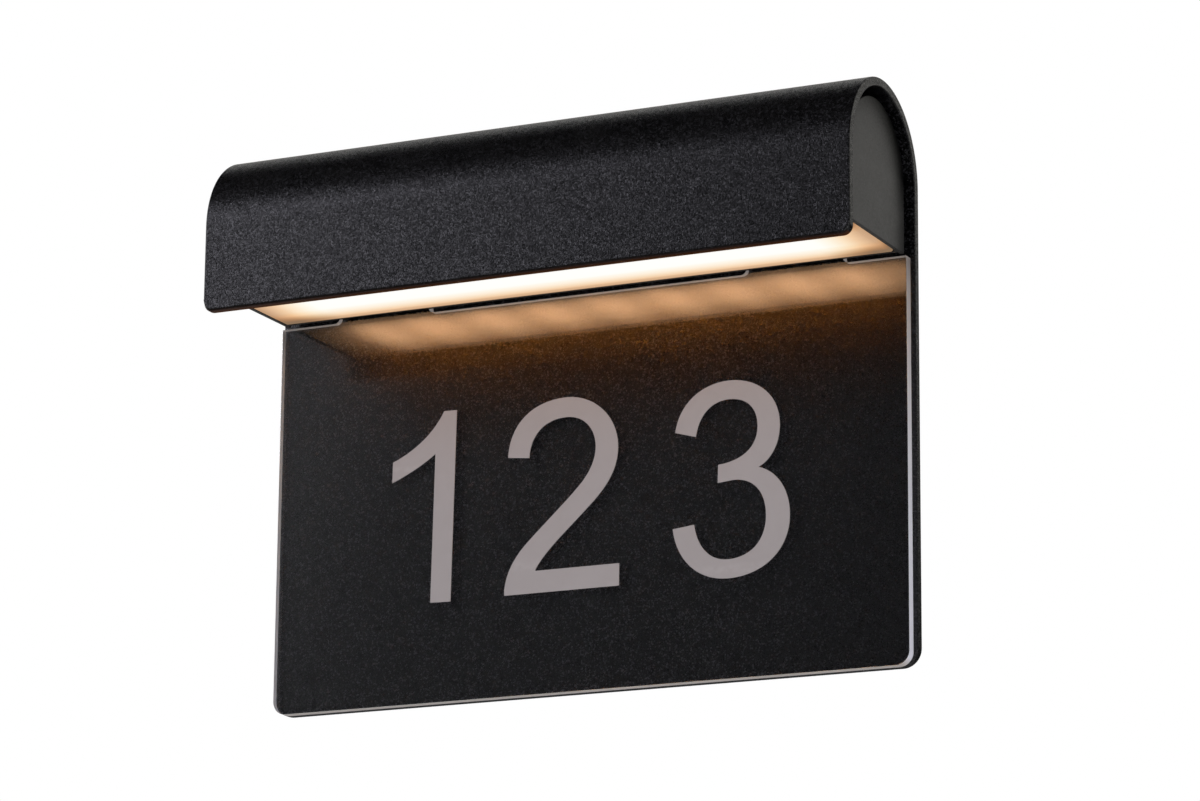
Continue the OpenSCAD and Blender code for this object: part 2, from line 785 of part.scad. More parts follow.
function outline_three() = concat(
    [[-25.8, 63.3]],
    curve([-25.8, 63.3], [-24, 76], [-13.5, 83.5], [-1, 83.5]),
    curve([-1, 83.5], [12, 83.5], [22, 75], [22, 62.5]),
    curve([22, 62.5], [22, 54.5], [18.5, 48], [12.3, 45]),
    curve([12.3, 45], [21, 42.5], [26.5, 34], [26.5, 23.5]),
    curve([26.5, 23.5], [26.5, 8.5], [14.5, -1.2], [-1.5, -1.2]),
    curve([-1.5, -1.2], [-15.5, -1.2], [-25, 8.5], [-26.8, 21.8]),
    [[-17.1, 22.9]],
    curve([-17.1, 22.9], [-15.5, 12.5], [-9.5, 6.8], [-1.5, 6.8]),
    curve([-1.5, 6.8], [8.5, 6.8], [15.8, 13], [15.8, 24]),
    curve([15.8, 24], [15.8, 34.5], [10, 40.6], [1, 40.6]),
    [[-6.2, 39.9], [-6, 47.6]],
    curve([-6, 47.6], [4, 48.2], [12, 53], [12, 62.5]),
    curve([12, 62.5], [12, 71], [6.5, 75.5], [-1, 75.5]),
    curve([-1, 75.5], [-9.5, 75.5], [-15, 70], [-16.4, 60.7])
);

// Puts a figure on the front of the plate
module figure(outline, x, lean = 0) {
    color(figure_grey) translate([x, 0, foot_z + figure_up]) forwards(panel_front_y, figure_t)
        rotate(-lean) scale(figure_h / grid_n) polygon(outline);
}

module number_one() {
    figure(outline_one(), figure_x[0], one_lean);
}

module number_two() {
    figure(outline_two(), figure_x[1]);
}

module number_three() {
    figure(outline_three(), figure_x[2]);
}

body_sheet();
lamp_housing();
end_cap_left();
end_cap_right();
cap_seals();
diffuser();
diffuser_seal();
led_tray();
led_board();
led_chips();
board_screws();
led_driver();
driver_screws();
terminal_block();
terminal_screws();
block_screws();
clamp_base();
clamp_bar();
clamp_screws();
earth_screw();
earth_lug();
earth_lead();
live_lead();
neutral_lead();
led_plus_lead();
led_minus_lead();
housing_grommet();
entry_grommet();
housing_spacers();
housing_screws();
tab_grips();
number_plate();
number_one();
number_two();
number_three();
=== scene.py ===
import math

import bpy
from mathutils import Matrix, Vector


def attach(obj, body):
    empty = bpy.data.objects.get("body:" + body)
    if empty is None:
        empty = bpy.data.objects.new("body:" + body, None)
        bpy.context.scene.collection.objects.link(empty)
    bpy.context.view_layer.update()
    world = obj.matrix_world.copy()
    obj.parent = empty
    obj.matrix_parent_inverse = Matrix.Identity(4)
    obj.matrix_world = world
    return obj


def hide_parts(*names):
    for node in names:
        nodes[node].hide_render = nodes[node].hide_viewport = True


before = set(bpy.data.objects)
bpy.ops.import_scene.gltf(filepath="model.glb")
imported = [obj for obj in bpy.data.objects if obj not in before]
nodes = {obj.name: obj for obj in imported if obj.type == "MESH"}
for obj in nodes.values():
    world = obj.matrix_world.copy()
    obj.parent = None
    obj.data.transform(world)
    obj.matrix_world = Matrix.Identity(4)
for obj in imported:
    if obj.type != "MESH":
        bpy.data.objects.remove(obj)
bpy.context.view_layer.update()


# Sizes, in metres, as the CAD model has them

side_x = 0.150
sheet_t = 0.004
bend_y, bend_z, bend_r = -0.0375, 0.0085, 0.03746
back_y, front_y = bend_y + bend_r, bend_y - bend_r
hood_edge_z = -0.0295
foot_z = -0.194
foot_corner_r, hood_corner_r, lip_r = 0.008, 0.004, 0.0014
# Holes through the back plate, all at one height: x and radius
back_holes_z = 0.0
WALL_SCREW_HOLES = [(-0.060, 0.00275), (0.060, 0.00275)]
CABLE_HOLE = [(0.0, 0.0070)]
HOUSING_SCREW_HOLES = [(-0.0975, 0.00205), (-0.030, 0.00205), (0.030, 0.00205), (0.0975, 0.00205)]
plate_back_y, plate_front_y = -0.0043, -0.0093
plate_top_z, tab_top_z = -0.0215, -0.0048
plate_half_w = 0.148
tab_in_x, tab_out_x = 0.0755, 0.1195
plate_corner_r, tab_corner_r = 0.006, 0.0025
diffuser_half_w = 0.1437
diffuser_front_y, diffuser_back_y = -0.0647, -0.0133
diffuser_low_z, diffuser_top_z = -0.0208, -0.0178
diode_middle_x, diode_spacing = 0.0015, 0.0288
figure_y, figure_foot_z = plate_front_y - 0.0002, foot_z + 0.0435
film_half_t, film_edge_r = 0.00014, 0.00006
# Faces and edges are picked when they lie within this distance of a place
near = 1e-4


# Making shapes, as by hand

def leave_edit():
    bpy.ops.object.mode_set(mode="OBJECT")


def let_go():
    """Deselects everything, because an operator acts on all that is selected."""
    if bpy.context.mode != "OBJECT":
        leave_edit()
    bpy.ops.object.select_all(action="DESELECT")


def take(piece):
    """Selects one piece and nothing else."""
    let_go()
    piece.select_set(True)
    bpy.context.view_layer.objects.active = piece


def into_mesh():
    """Puts the active piece's place, turn and size into its mesh."""
    bpy.ops.object.transform_apply(location=True, rotation=True, scale=True)


def block(name, low, high):
    """A block between two corners."""
    let_go()
    low, high = Vector(low), Vector(high)
    bpy.ops.mesh.primitive_cube_add(size=1, location=(low + high) / 2)
    piece = bpy.context.active_object
    piece.scale = high - low
    into_mesh()
    piece.name = piece.data.name = name
    return piece


def pick(piece, part, wanted):
    """Goes into edit mode with the faces or edges picked that wanted(middle, direction) takes."""
    take(piece)
    mesh = piece.data
    for item in (*mesh.vertices, *mesh.edges, *mesh.polygons):
        item.select = False
    if part == "faces":
        for face in mesh.polygons:
            face.select = wanted(face.center, face.normal)
    else:
        for edge in mesh.edges:
            a, b = (mesh.vertices[i].co for i in edge.vertices)
            edge.select = wanted((a + b) / 2, (b - a).normalized())
    bpy.context.tool_settings.mesh_select_mode = (False, part == "edges", part == "faces")
    bpy.ops.object.mode_set(mode="EDIT")


def pick_all(piece):
    """Goes into edit mode with the whole piece selected."""
    take(piece)
    bpy.ops.object.mode_set(mode="EDIT")
    bpy.ops.mesh.select_all(action="SELECT")


def extrude(by):
    bpy.ops.mesh.extrude_region_move(TRANSFORM_OT_translate={"value": by})


def round_picked(radius, steps):
    """Rounds the picked edges, and leaves edit mode."""
    bpy.ops.mesh.bevel(offset=radius, segments=steps, affect="EDGES")
    leave_edit()


def merge_points():
    bpy.ops.mesh.remove_doubles(threshold=0.000002)


def cut_across(piece, point, normal):
    """Adds a line of edges round a piece, where a plane cuts it."""
    pick_all(piece)
    bpy.ops.mesh.bisect(plane_co=point, plane_no=normal)
    leave_edit()


def apply_all(piece):
    take(piece)
    for modifier in list(piece.modifiers):
        bpy.ops.object.modifier_apply(modifier=modifier.name)


def soften(piece, width, steps):
    """Rounds every sharp edge, as coating and polishing do."""
    bevel = piece.modifiers.new("soft edges", "BEVEL")
    bevel.width = width
    bevel.segments = steps
    bevel.limit_method = "ANGLE"
    bevel.angle_limit = math.radians(40)
    bevel.use_clamp_overlap = False
    bevel.miter_outer = "MITER_ARC"
    apply_all(piece)
    smooth(piece)


def smooth(piece, angle=35):
    """Shades rounds smoothly, and keeps broad faces flat up to their edges."""
    take(piece)
    bpy.ops.object.shade_smooth_by_angle(angle=math.radians(angle))
    even = piece.modifiers.new("even shading", "WEIGHTED_NORMAL")
    even.weight = 100
    even.keep_sharp = True
    apply_all(piece)


def drill(piece, cutter):
    """Takes the cutter's shape out of a piece, and the cutter away."""
    hole = piece.modifiers.new("hole", "BOOLEAN")
    hole.operation = "DIFFERENCE"
    hole.solver = "EXACT"
    hole.object = cutter
    apply_all(piece)
    bpy.data.objects.remove(cutter)


def hole_cutter(x, z, y_front, y_back, radius):
    """A round bar along y whose ends flare a little, so that the hole's rims come out eased."""
    ease = 0.0003
    let_go()
    middle = (y_front + y_back) / 2
    bpy.ops.mesh.primitive_cylinder_add(
        vertices=48, radius=radius, depth=abs(y_back - y_front) - 2 * ease,
        location=(x, middle, z), rotation=(math.pi / 2, 0, 0))
    cutter = bpy.context.active_object
    into_mesh()
    for way in (-1, 1):
        pick(cutter, "faces", lambda c, n, way=way: n.y * way > 0.9)
        extrude((0, way * 2 * ease, 0))
        grow = (radius + 2 * ease) / radius
        bpy.ops.transform.resize(value=(grow, 1, grow), center_override=(x, middle, z))
        leave_edit()
    return cutter


def copy_of(node, name):
    """A CAD node's shape as a piece of its own, its loose triangles merged into whole faces."""
    mesh = nodes[node].data.copy()
    piece = bpy.data.objects.new(name, mesh)
    bpy.context.scene.collection.objects.link(piece)
    mesh.name = name
    mesh.materials.clear()
    pick_all(piece)
    merge_points()
    bpy.ops.mesh.dissolve_limited(angle_limit=math.radians(0.8))
    leave_edit()
    return piece


def dress(piece, *finishes):
    piece.data.materials.clear()
    for finish in finishes:
        piece.data.materials.append(finish)


def second_finish(piece, wanted):
    """Gives the piece's second material to the faces that wanted(middle, direction) accepts."""
    for face in piece.data.polygons:
        face.material_index = 1 if wanted(face.center, face.normal) else 0


# Wiring materials

def find(tree, kind):
    return next(n for n in tree.nodes if n.type == kind)


def add(tree, kind, **settings):
    made = tree.nodes.new(kind)
    for name, value in settings.items():
        setattr(made, name, value)
    return made


def join(tree, source, target):
    tree.links.new(source, target)


def give(tree, value, socket):
    """Puts a number, a colour or another node's output into an input."""
    if isinstance(value, (int, float)):
        socket.default_value = value
    elif isinstance(value, tuple):
        socket.default_value = (*value, 1.0) if len(value) == 3 else value
    else:
        join(tree, value, socket)


def math_node(tree, operation, a, b=None, clamp=False):
    made = add(tree, "ShaderNodeMath", operation=operation, use_clamp=clamp)
    give(tree, a, made.inputs[0])
    if b is not None:
        give(tree, b, made.inputs[1])
    return made.outputs[0]


def plus(tree, a, b, clamp=False):
    return math_node(tree, "ADD", a, b, clamp)


def minus(tree, a, b, clamp=False):
    return math_node(tree, "SUBTRACT", a, b, clamp)


def times(tree, a, b, clamp=False):
    return math_node(tree, "MULTIPLY", a, b, clamp)


def per(tree, size):
    """The scale at which a texture's grains have this size."""
    return math_node(tree, "DIVIDE", 1.0, size)


def distance(tree, value, place):
    return math_node(tree, "ABSOLUTE", minus(tree, value, place))


def spread(tree, value, low, high, to_low=0.0, to_high=1.0):
    """Maps low..high to to_low..to_high, and goes no further."""
    made = add(tree, "ShaderNodeMapRange")
    for label, number in (("Value", value), ("From Min", low), ("From Max", high),
                          ("To Min", to_low), ("To Max", to_high)):
        give(tree, number, made.inputs[label])
    return made.outputs["Result"]


def blend(tree, share, a, b, mode="MIX"):
    made = add(tree, "ShaderNodeMix", data_type="RGBA", blend_type=mode)
    for place, value in ((0, share), (6, a), (7, b)):
        give(tree, value, made.inputs[place])
    return made.outputs[2]


def ramp(tree, value, stops):
    """Colours between stops, each given as (place, colour)."""
    made = add(tree, "ShaderNodeValToRGB")
    join(tree, value, made.inputs[0])
    band = made.color_ramp
    while len(band.elements) < len(stops):
        band.elements.new(0.5)
    for element, (place, colour) in zip(band.elements, stops):
        element.position = place
        element.color = (*colour, 1.0)
    return made.outputs[0]


def vector_node(tree, operation, a, b):
    made = add(tree, "ShaderNodeVectorMath", operation=operation)
    join(tree, a, made.inputs[0])
    join(tree, b, made.inputs["Scale" if operation == "SCALE" else 1])
    return made.outputs[0]


def coordinates(tree, kind):
    return add(tree, "ShaderNodeTexCoord").outputs[kind]


def split(tree, vector):
    made = add(tree, "ShaderNodeSeparateXYZ")
    join(tree, vector, made.inputs[0])
    return made.outputs


def texture(tree, kind, scale, settings=None, **inputs):
    """A texture on the object's own coordinates."""
    made = add(tree, "ShaderNodeTex" + kind, **(settings or {}))
    join(tree, coordinates(tree, "Object"), made.inputs["Vector"])
    for label, value in {"Scale": scale, **inputs}.items():
        give(tree, value, made.inputs[label])
    return made.outputs


def screen(r, g, b):
    """A colour as it looks on screen, 0 to 255, as the light it stands for."""
    return tuple(c / 12.92 if c <= 0.04045 else ((c + 0.055) / 1.055) ** 2.4
                 for c in (r / 255, g / 255, b / 255))


def grey(share):
    return (share, share, share)


def paler(colour, factor, lift=0.0):
    return tuple(min(1.0, factor * c + lift) for c in colour)


# Effects that several finishes share

FLOAT, COLOUR, VECTOR = "NodeSocketFloat", "NodeSocketColor", "NodeSocketVector"


def effect(name, inputs, outputs):
    """An effect's group, with named inputs and outputs."""
    tree = bpy.data.node_groups.new(name, "ShaderNodeTree")
    for label, kind, value in inputs:
        socket = tree.interface.new_socket(name=label, in_out="INPUT", socket_type=kind)
        socket.default_value = value
    for label, kind in outputs:
        tree.interface.new_socket(name=label, in_out="OUTPUT", socket_type=kind)
    return tree, add(tree, "NodeGroupInput").outputs, add(tree, "NodeGroupOutput").inputs


def make_powder_grain():
    """Textured powder coat: small humps, and grains that each lean their own way, some paler."""
    tree, given, result = effect(
        "powder grain",
        [("Colour", COLOUR, (0.02, 0.02, 0.02, 1)),
         ("Speck Colour", COLOUR, (0.05, 0.05, 0.05, 1)),
         ("Grain Size", FLOAT, 0.001), ("Specks", FLOAT, 0.5), ("Tilt", FLOAT, 0.1),
         ("Smooth", FLOAT, 0.4), ("Rough", FLOAT, 0.6)],
        [("Colour", COLOUR), ("Roughness", FLOAT), ("Height", FLOAT), ("Normal", VECTOR)])
    scale = per(tree, given["Grain Size"])
    humps = texture(tree, "Noise", times(tree, scale, 1.4), Detail=2.0, Roughness=0.55)[0]
    wave = texture(tree, "Noise", times(tree, scale, 0.25), Detail=1.0)[0]
    grains = texture(tree, "Voronoi", scale, {"feature": "F1"})
    round_tops = spread(tree, grains["Distance"], 0.0, 0.7, 1.0, 0.0)
    height = plus(tree, times(tree, humps, 0.5),
                  plus(tree, times(tree, round_tops, 0.6), times(tree, wave, 0.06)))
    join(tree, height, result["Height"])
    # A grain's random colour says whether it is a speck, and which way it leans
    own_number = split(tree, grains["Color"])["X"]
    share = times(tree, spread(tree, own_number, 0.7, 0.95), given["Specks"], clamp=True)
    join(tree, blend(tree, share, given["Colour"], given["Speck Colour"]), result["Colour"])
    join(tree, spread(tree, humps, 0.3, 0.7, given["Smooth"], given["Rough"]), result["Roughness"])
    lean = add(tree, "ShaderNodeVectorMath", operation="SUBTRACT")
    join(tree, grains["Color"], lean.inputs[0])
    lean.inputs[1].default_value = grey(0.5)
    leaning = vector_node(tree, "SCALE", lean.outputs[0], given["Tilt"])
    straight = add(tree, "ShaderNodeNewGeometry").outputs["Normal"]
    facing = vector_node(tree, "ADD", leaning, straight)
    even = add(tree, "ShaderNodeVectorMath", operation="NORMALIZE")
    join(tree, facing, even.inputs[0])
    join(tree, even.outputs[0], result["Normal"])
    return tree


def make_edge_wear():
    """A mask along outer edges, broken up, where a coating is thin or handled."""
    tree, given, result = effect(
        "edge wear", [("Amount", FLOAT, 0.5), ("Break Up Size", FLOAT, 0.004)], [("Mask", FLOAT)])
    edge = spread(tree, add(tree, "ShaderNodeNewGeometry").outputs["Pointiness"], 0.52, 0.62)
    patches = texture(tree, "Noise", per(tree, given["Break Up Size"]), Detail=3.0)[0]
    broken = times(tree, spread(tree, patches, 0.35, 0.65), given["Amount"])
    join(tree, times(tree, edge, broken, clamp=True), result["Mask"])
    return tree


def make_dust():
    """A thin, patchy film that lies on whatever faces up."""
    tree, given, result = effect(
        "dust film", [("Amount", FLOAT, 0.3), ("Patch Size", FLOAT, 0.02)], [("Mask", FLOAT)])
    up = spread(tree, split(tree, coordinates(tree, "Normal"))["Z"], 0.1, 1.0)
    patches = texture(tree, "Noise", per(tree, given["Patch Size"]), Detail=5.0)[0]
    film = times(tree, spread(tree, patches, 0.3, 0.7, 0.25, 1.0), given["Amount"])
    join(tree, times(tree, up, film, clamp=True), result["Mask"])
    return tree


def make_moulded_skin():
    """The faint grain and flow marks of a moulded or extruded surface."""
    tree, given, result = effect(
        "moulded skin",
        [("Colour", COLOUR, (0.5, 0.5, 0.5, 1)), ("Variation", FLOAT, 0.1),
         ("Grain Size", FLOAT, 0.0006), ("Smooth", FLOAT, 0.35), ("Rough", FLOAT, 0.55)],
        [("Colour", COLOUR), ("Roughness", FLOAT), ("Height", FLOAT)])
    scale = per(tree, given["Grain Size"])
    grain = texture(tree, "Noise", scale, Detail=3.0)[0]
    flow = texture(tree, "Noise", times(tree, scale, 0.06), Detail=2.0, Distortion=1.5)[0]
    darker = blend(tree, 1.0, given["Colour"], (0.75, 0.74, 0.73), "MULTIPLY")
    share = times(tree, flow, given["Variation"], clamp=True)
    join(tree, blend(tree, share, given["Colour"], darker), result["Colour"])
    join(tree, spread(tree, flow, 0.3, 0.7, given["Smooth"], given["Rough"]), result["Roughness"])
    join(tree, plus(tree, grain, times(tree, flow, 0.4)), result["Height"])
    return tree


def make_plated_skin():
    """Plated or turned metal: fine tool lines and cloudy plating."""
    tree, given, result = effect(
        "plated skin",
        [("Colour", COLOUR, (0.6, 0.6, 0.6, 1)), ("Cloud Colour", COLOUR, (0.5, 0.5, 0.52, 1)),
         ("Line Size", FLOAT, 0.0002), ("Smooth", FLOAT, 0.2), ("Rough", FLOAT, 0.4)],
        [("Colour", COLOUR), ("Roughness", FLOAT), ("Height", FLOAT)])
    scale = per(tree, given["Line Size"])
    rings = {"wave_type": "RINGS", "rings_direction": "SPHERICAL"}
    lines = texture(tree, "Wave", times(tree, scale, 0.3), rings, Distortion=2.0)
    clouds = texture(tree, "Noise", times(tree, scale, 0.08), Detail=4.0)[0]
    cloudy = spread(tree, clouds, 0.35, 0.65)
    join(tree, blend(tree, cloudy, given["Colour"], given["Cloud Colour"]), result["Colour"])
    roughness = spread(tree, clouds, 0.3, 0.7, given["Smooth"], given["Rough"])
    join(tree, roughness, result["Roughness"])
    join(tree, lines["Fac"], result["Height"])
    return tree


powder_grain = make_powder_grain()
edge_wear = make_edge_wear()
dust_film = make_dust()
moulded_skin = make_moulded_skin()
plated_skin = make_plated_skin()


# Finishes

DUST = (0.35, 0.33, 0.30)
ACRYLIC_IOR = 1.49
LIGHT_THROUGH_ACRYLIC = (0.85, 0.86, 0.86)


def material_of(name):
    """A new material, with its node tree and its Principled shader."""
    made = bpy.data.materials.new(name)
    made.use_nodes = True
    return made, made.node_tree, find(made.node_tree, "BSDF_PRINCIPLED")


def use(tree, group, **values):
    """Places a shared effect in a material, with the material's own values."""
    placed = add(tree, "ShaderNodeGroup", node_tree=group)
    for label, value in values.items():
        placed.inputs[label.replace("_", " ")].default_value = value
    return placed


def bump(tree, shader, height, depth, over=None):
    made = add(tree, "ShaderNodeBump")
    made.inputs["Strength"].default_value = 1.0
    made.inputs["Distance"].default_value = depth
    if over:
        join(tree, over, made.inputs["Normal"])
    join(tree, height, made.inputs["Height"])
    join(tree, made.outputs["Normal"], shader.inputs["Normal"])


def shine(tree, shader, colour):
    """Lets a surface give light of its own."""
    give(tree, colour, shader.inputs["Emission Color"])
    shader.inputs["Emission Strength"].default_value = 1.0


def coated(name, colour, speck, *, grain, depth, tilt, gloss, rough, specks, specular, wear, dust):
    """A sprayed or powder coat, paler along its worn edges and dusty where it faces up."""
    made, tree, shader = material_of(name)
    shader.inputs["Specular IOR Level"].default_value = specular
    grains = use(tree, powder_grain, Colour=(*colour, 1), Speck_Colour=(*speck, 1),
                 Grain_Size=grain, Specks=specks, Tilt=tilt, Smooth=gloss, Rough=rough)
    worn = use(tree, edge_wear, Amount=wear, Break_Up_Size=0.006).outputs["Mask"]
    dusty = use(tree, dust_film, Amount=dust, Patch_Size=0.018).outputs["Mask"]
    base = blend(tree, worn, grains.outputs["Colour"], paler(colour, 1.5, 0.012))
    join(tree, blend(tree, dusty, base, DUST), shader.inputs["Base Color"])
    roughness = minus(tree, grains.outputs["Roughness"], times(tree, worn, 0.12))
    roughness = plus(tree, roughness, times(tree, dusty, 0.5), clamp=True)
    join(tree, roughness, shader.inputs["Roughness"])
    bump(tree, shader, grains.outputs["Height"], depth, grains.outputs["Normal"])
    return made


def cover(tree, shader, skin, worn, worn_colour, depth):
    """Joins a skin to the shader, in another colour where its edges are worn."""
    join(tree, blend(tree, worn.outputs["Mask"], skin.outputs["Colour"], worn_colour),
         shader.inputs["Base Color"])
    join(tree, skin.outputs["Roughness"], shader.inputs["Roughness"])
    bump(tree, shader, skin.outputs["Height"], depth)


def moulded(name, colour, *, grain, depth, gloss, rough, variation, specular=0.5, wear=0.2):
    """Moulded plastic or rubber, paint, film or cloth."""
    made, tree, shader = material_of(name)
    shader.inputs["Specular IOR Level"].default_value = specular
    skin = use(tree, moulded_skin, Colour=(*colour, 1), Variation=variation, Grain_Size=grain,
               Smooth=gloss, Rough=rough)
    worn = use(tree, edge_wear, Amount=wear, Break_Up_Size=0.003)
    cover(tree, shader, skin, worn, paler(colour, 1.35, 0.01), depth)
    return made


def insulation(name, colour):
    return moulded(name, colour, grain=0.0006, depth=0.00001, gloss=0.3, rough=0.42, variation=0.4)


def plated(name, colour, cloud, *, line, gloss, rough):
    """Plated or turned metal."""
    made, tree, shader = material_of(name)
    shader.inputs["Metallic"].default_value = 1.0
    skin = use(tree, plated_skin, Colour=(*colour, 1), Cloud_Colour=(*cloud, 1), Line_Size=line,
               Smooth=gloss, Rough=rough)
    worn = use(tree, edge_wear, Amount=0.5, Break_Up_Size=0.001)
    cover(tree, shader, skin, worn, paler(colour, 1.25), 0.000006)
    return made


def mirrored_ray(tree, path):
    """1 for what is seen in a mirroring surface or through the clear plate."""
    return math_node(tree, "MAXIMUM", path.outputs["Is Glossy Ray"],
                     path.outputs["Is Transmission Ray"])


def seen_or_mirrored(tree, path):
    return math_node(tree, "MAXIMUM", path.outputs["Is Camera Ray"], mirrored_ray(tree, path))


def opal_as_seen(tree, xyz):
    """What an eye or a lens sees of the diffuser: warmer and dimmer away from the diodes' row."""
    row_y, half_w = -0.039, 0.0258
    off_row = math_node(tree, "DIVIDE", distance(tree, xyz["Y"], row_y), half_w)
    across = ramp(tree, off_row, [
        (0.0, (1, 1, 0.97)), (0.31, (1, 1, 0.96)), (0.43, screen(254, 247, 233)),
        (0.54, screen(254, 239, 219)), (0.66, screen(249, 225, 195)), (0.78, screen(240, 203, 165)),
        (0.84, screen(219, 178, 139)), (0.90, screen(216, 177, 139)), (1.0, screen(165, 130, 100))])
    from_middle = distance(tree, xyz["X"], diode_middle_x)
    along = ramp(tree, spread(tree, from_middle, 0.112, 0.144), [
        (0.0, (1, 1, 1)), (0.19, (1, 1, 0.985)), (0.375, screen(254, 246, 232)),
        (0.56, screen(252, 229, 201)), (0.72, screen(240, 203, 166)),
        (0.875, screen(215, 176, 142)), (1.0, screen(188, 150, 118))])
    seen = blend(tree, 1.0, across, along, "MULTIPLY")
    corner = times(tree, spread(tree, off_row, 0.5, 0.85), spread(tree, from_middle, 0.114, 0.136))
    return blend(tree, corner, seen, screen(140, 113, 87))


MIRRORED_POWER = 6.0
WARM = (1.0, 0.585, 0.315)


def opal_as_mirrored(tree, xyz):
    """What mirroring surfaces show of the diffuser, with the diodes' spots in it."""
    row = ramp(tree, spread(tree, xyz["Y"], diffuser_front_y, diffuser_back_y), [
        (place, tuple(share * c for c in WARM)) for place, share in (
            (0.0, 0.20), (0.13, 0.38), (0.29, 0.63), (0.45, 0.92), (0.62, 1.0), (0.75, 0.97),
            (0.85, 0.86), (0.93, 0.66), (1.0, 0.4))])
    along = ramp(tree, spread(tree, xyz["X"], -diffuser_half_w, diffuser_half_w), [
        (place, grey(share)) for place, share in (
            (0.0, 0.03), (0.027, 0.10), (0.058, 0.26), (0.0894, 0.65), (0.117, 0.93), (0.142, 1.0),
            (0.89, 1.0), (0.931, 0.74), (0.956, 0.63), (0.98, 0.45), (1.0, 0.2))])
    turn = times(tree, minus(tree, xyz["X"], diode_middle_x), 2 * math.pi / diode_spacing)
    spot_strength = 0.15
    spots = plus(tree, 1.0, times(tree, math_node(tree, "COSINE", turn), spot_strength))
    strength = times(tree, times(tree, along, spots), MIRRORED_POWER)
    return vector_node(tree, "SCALE", row, strength)


# What the diffuser throws on matt surfaces, as a share of what mirrors show: less, and on the sheet
# behind the clear plate a deeper amber
THROWN = (0.27, 0.24, 0.23)
AMBER = (1.70, 0.93, 0.23)
# A look at that sheet has gone through the plate's two faces, and its light through them again
TWICE_THROUGH = 3.5


def lit_opal():
    """Opal diffuser with the diodes behind it, which gives light of its own."""
    made, tree, shader = material_of("lit opal acrylic")
    xyz = split(tree, coordinates(tree, "Object"))
    path = add(tree, "ShaderNodeLightPath")
    behind = math_node(tree, "GREATER_THAN", path.outputs["Transmission Depth"], TWICE_THROUGH)
    through = blend(tree, behind, (1.0, 1.0, 1.0), AMBER)
    tint = blend(tree, mirrored_ray(tree, path), THROWN, through)
    thrown = blend(tree, 1.0, opal_as_mirrored(tree, xyz), tint, "MULTIPLY")
    shine(tree, shader, blend(tree, path.outputs["Is Camera Ray"], thrown, opal_as_seen(tree, xyz)))
    skin = use(tree, moulded_skin, Colour=(0.012, 0.010, 0.008, 1), Variation=0.3,
               Grain_Size=0.0008, Smooth=0.35, Rough=0.5)
    join(tree, skin.outputs["Colour"], shader.inputs["Base Color"])
    join(tree, skin.outputs["Roughness"], shader.inputs["Roughness"])
    shader.inputs["Specular IOR Level"].default_value = 0.1
    return made


def let_light_through(tree, shader):
    """The acrylic casts no dark shadow: the lamps shine through it."""
    lit_through = add(tree, "ShaderNodeBsdfTransparent")
    give(tree, LIGHT_THROUGH_ACRYLIC, lit_through.inputs["Color"])
    choice = add(tree, "ShaderNodeMixShader")
    join(tree, add(tree, "ShaderNodeLightPath").outputs["Is Shadow Ray"], choice.inputs[0])
    join(tree, shader.outputs[0], choice.inputs[1])
    join(tree, lit_through.outputs[0], choice.inputs[2])
    join(tree, choice.outputs[0], find(tree, "OUTPUT_MATERIAL").inputs["Surface"])


def clear_sheet(name, tint, gloss, rough):
    """Clear acrylic with faint wipe marks."""
    made, tree, shader = material_of(name)
    shader.inputs["Transmission Weight"].default_value = 1.0
    shader.inputs["IOR"].default_value = ACRYLIC_IOR
    wipes = texture(tree, "Noise", 9.0, Detail=4.0, Distortion=0.6)[0]
    join(tree, spread(tree, wipes, 0.35, 0.75, gloss, rough), shader.inputs["Roughness"])
    join(tree, blend(tree, spread(tree, wipes, 0.3, 0.7), tint, tuple(0.97 * c for c in tint)),
         shader.inputs["Base Color"])
    let_light_through(tree, shader)
    return made


def milled_edge():
    """The plate's cut edges: they scatter light and look pale. A painted shade makes them darker
    toward the hood and darker on faces that face down. A painted glow makes them all give a little
    light of their own, and those beside the diffuser most, for its light."""
    made, tree, shader = material_of("milled acrylic edge")
    height = split(tree, coordinates(tree, "Object"))["Z"]
    # Painted shade: the base colour darkens toward the top, where the hood's shade falls.
    shade_toward_hood = ramp(tree, spread(tree, height, foot_z, tab_top_z), [
        (0.0, (0.80, 0.80, 0.90)), (0.30, (0.78, 0.78, 0.86)), (0.60, (0.60, 0.59, 0.61)),
        (0.82, (0.36, 0.32, 0.31)), (0.92, (0.16, 0.14, 0.13)), (1.0, (0.10, 0.09, 0.09))])
    facing_down = spread(tree, split(tree, coordinates(tree, "Normal"))["Z"], -0.5, -0.95)
    skin = use(tree, moulded_skin, Variation=0.35, Grain_Size=0.0012, Smooth=0.42, Rough=0.55)
    # Painted shade: faces that face down are blended to a darker, warm grey.
    join(tree, blend(tree, facing_down, shade_toward_hood, (0.46, 0.42, 0.385)), skin.inputs["Colour"])
    join(tree, skin.outputs["Colour"], shader.inputs["Base Color"])
    join(tree, skin.outputs["Roughness"], shader.inputs["Roughness"])
    bands = {"wave_type": "BANDS", "bands_direction": "DIAGONAL"}
    bump(tree, shader, texture(tree, "Wave", 260.0, bands, Distortion=3.0)["Fac"], 0.00001)
    # Painted glow: the edges give light of their own, a little all along and most beside the
    # diffuser.
    shine(tree, shader, ramp(tree, spread(tree, height, -0.032, -0.012), [
        (0.0, (0.07, 0.068, 0.068)), (0.43, (0.04, 0.035, 0.033)), (0.52, (0.11, 0.098, 0.094)),
        (0.62, (0.19, 0.172, 0.165)), (0.75, (0.04, 0.035, 0.035)), (1.0, (0.01, 0.01, 0.01))]))
    shader.inputs["Transmission Weight"].default_value = 0.2
    shader.inputs["IOR"].default_value = ACRYLIC_IOR
    let_light_through(tree, shader)
    return made


